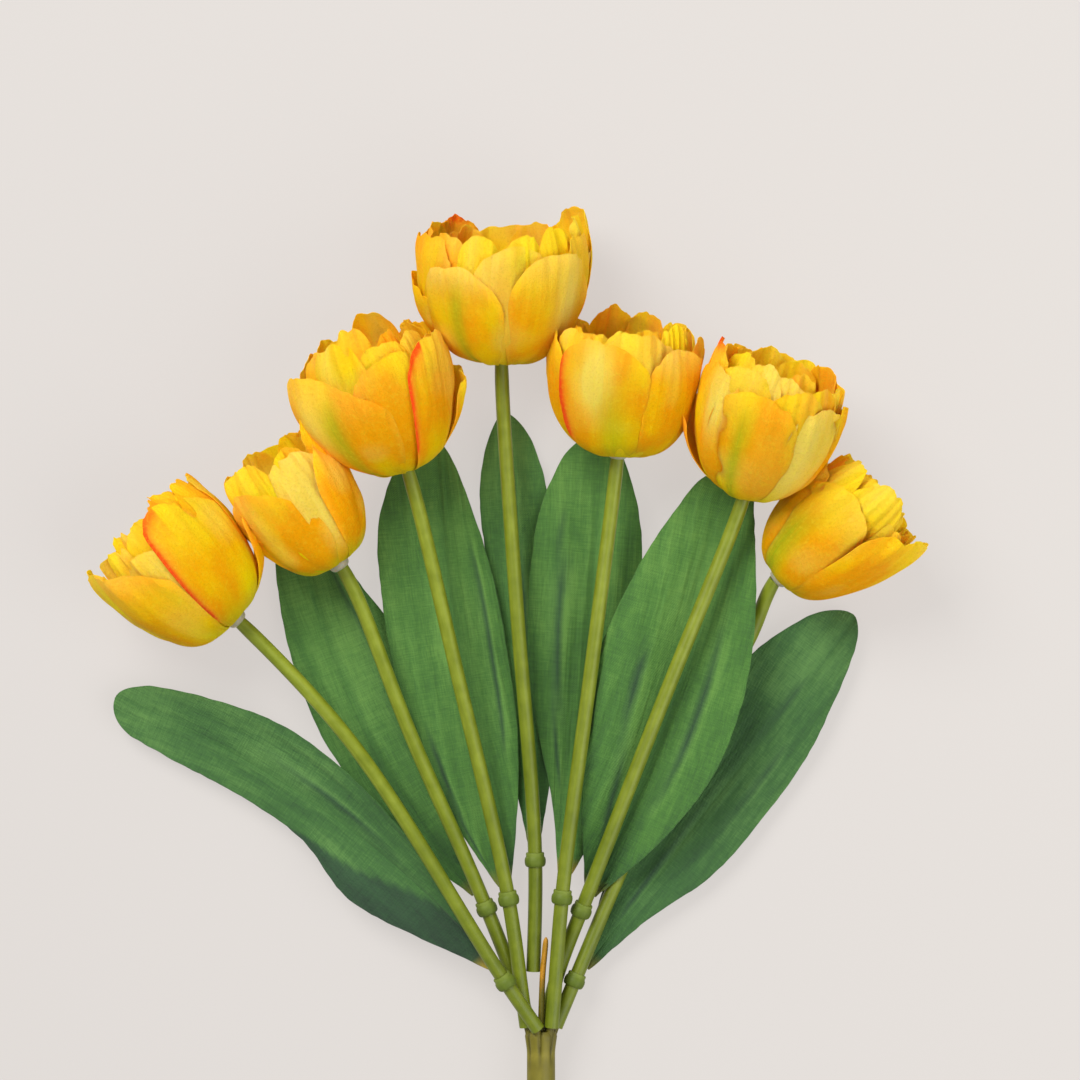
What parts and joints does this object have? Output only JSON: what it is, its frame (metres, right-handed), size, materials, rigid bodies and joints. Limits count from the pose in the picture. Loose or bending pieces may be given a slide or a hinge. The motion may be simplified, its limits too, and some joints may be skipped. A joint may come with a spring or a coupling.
{
  "type": "artificial tulip bunch",
  "caption": "Bunch of artificial double tulips with fabric petals and leaves on moulded plastic stems that share one trunk, lying fanned out.",
  "frame": {"origin": "middle of the bunch's footprint, on the surface that it lies on", "axes": "+Y from the trunk's cut end towards the flowers, +Z up, away from the surface; seen from above with +Y up, +X is to the right"},
  "size_m": [0.2742, 0.3574, 0.0644],
  "materials": {
    "petal": "matte woven, dyed golden yellow with orange and pale patches",
    "inner_petal": "matte woven, dyed deeper orange yellow",
    "leaf": "matte woven, dyed green",
    "stem": "satin olive green",
    "ring": "matte grey green",
    "trunk": "matte olive brown",
    "collar": "cloudy, undyed",
    "core": "matte yellow green"
  },
  "bodies": {
    "root": {"trunk": "trunk", "stem_1": "stem", "leaf_1_blade": "leaf", "leaf_1_rib": "ring", "flower_1_collar": "collar", "flower_1_outer_petals": "petal", "flower_1_middle_petals": "petal", "flower_1_inner_petals": "inner_petal", "flower_1_core": "core", "stem_2": "stem", "leaf_2_blade": "leaf", "leaf_2_rib": "ring", "flower_2_collar": "collar", "flower_2_outer_petals": "petal", "flower_2_middle_petals": "petal", "flower_2_inner_petals": "inner_petal", "flower_2_core": "core", "stem_3": "stem", "leaf_3_blade": "leaf", "leaf_3_rib": "ring", "flower_3_collar": "collar", "flower_3_outer_petals": "petal", "flower_3_middle_petals": "petal", "flower_3_inner_petals": "inner_petal", "flower_3_core": "core", "stem_4": "stem", "leaf_4_blade": "leaf", "leaf_4_rib": "ring", "flower_4_collar": "collar", "flower_4_outer_petals": "petal", "flower_4_middle_petals": "petal", "flower_4_inner_petals": "inner_petal", "flower_4_core": "core", "stem_5": "stem", "leaf_5_blade": "leaf", "leaf_5_rib": "ring", "flower_5_collar": "collar", "flower_5_outer_petals": "petal", "flower_5_middle_petals": "petal", "flower_5_inner_petals": "inner_petal", "flower_5_core": "core", "stem_6": "stem", "leaf_6_blade": "leaf", "leaf_6_rib": "ring", "flower_6_collar": "collar", "flower_6_outer_petals": "petal", "flower_6_middle_petals": "petal", "flower_6_inner_petals": "inner_petal", "flower_6_core": "core", "stem_7": "stem", "leaf_7_blade": "leaf", "leaf_7_rib": "ring", "flower_7_collar": "collar", "flower_7_outer_petals": "petal", "flower_7_middle_petals": "petal", "flower_7_inner_petals": "inner_petal", "flower_7_core": "core"}
  },
  "joints": []
}
